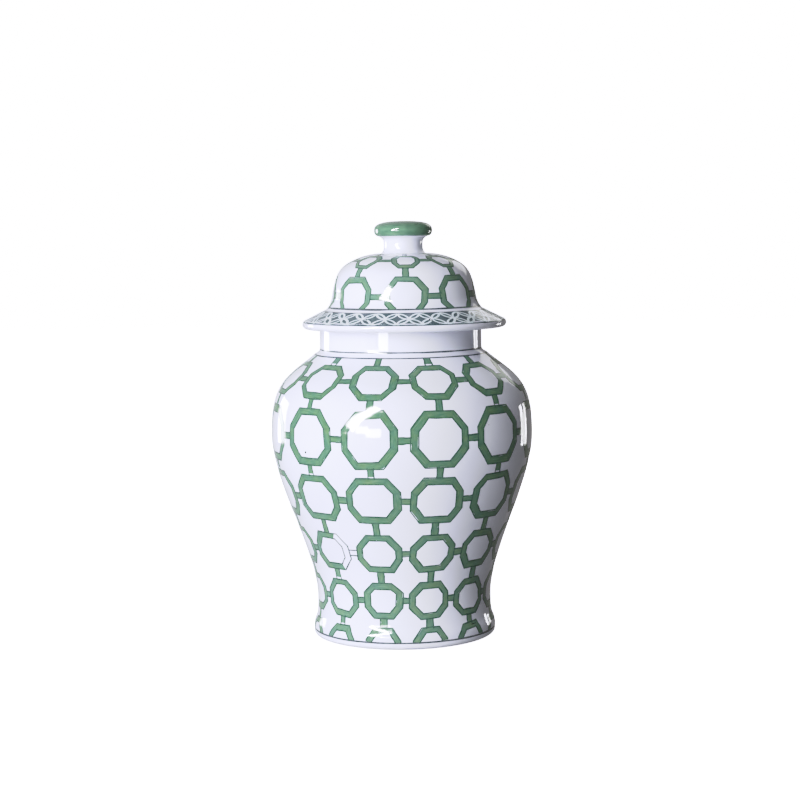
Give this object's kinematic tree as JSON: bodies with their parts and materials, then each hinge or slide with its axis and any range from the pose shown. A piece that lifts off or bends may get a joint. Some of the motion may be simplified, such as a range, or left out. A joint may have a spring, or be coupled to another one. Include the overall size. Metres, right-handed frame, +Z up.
{
  "type": "ginger jar",
  "caption": "Lidded ceramic ginger jar: tapered body with a wide shoulder and short neck, and a domed lid with a sloping brim and a round knob.",
  "frame": {"origin": "centre of the foot ring's resting plane, on the jar's axis", "axes": "+Z up along the jar's axis, the way the lid lifts; -Y is the front"},
  "size_m": [0.2635, 0.2634, 0.419],
  "materials": {
    "glazed_porcelain": "gloss glaze with hand-painted green lattice",
    "green_glaze": "gloss glaze",
    "bare_biscuit": "matt unglazed"
  },
  "bodies": {
    "jar": {"foot_ring": "glazed_porcelain", "lower_body": "glazed_porcelain", "upper_body": "glazed_porcelain", "neck_collar": "glazed_porcelain"},
    "lid": {"lid_brim": "glazed_porcelain", "lid_dome": "glazed_porcelain", "lid_crown": "glazed_porcelain", "lid_locating_ring": "bare_biscuit", "lid_knob": "green_glaze"}
  },
  "joints": [
    {"name": "lid_lift", "type": "slide", "parent": "jar", "child": "lid", "axis": [0, 0, 1], "range_m": [0, 0.15]}
  ]
}
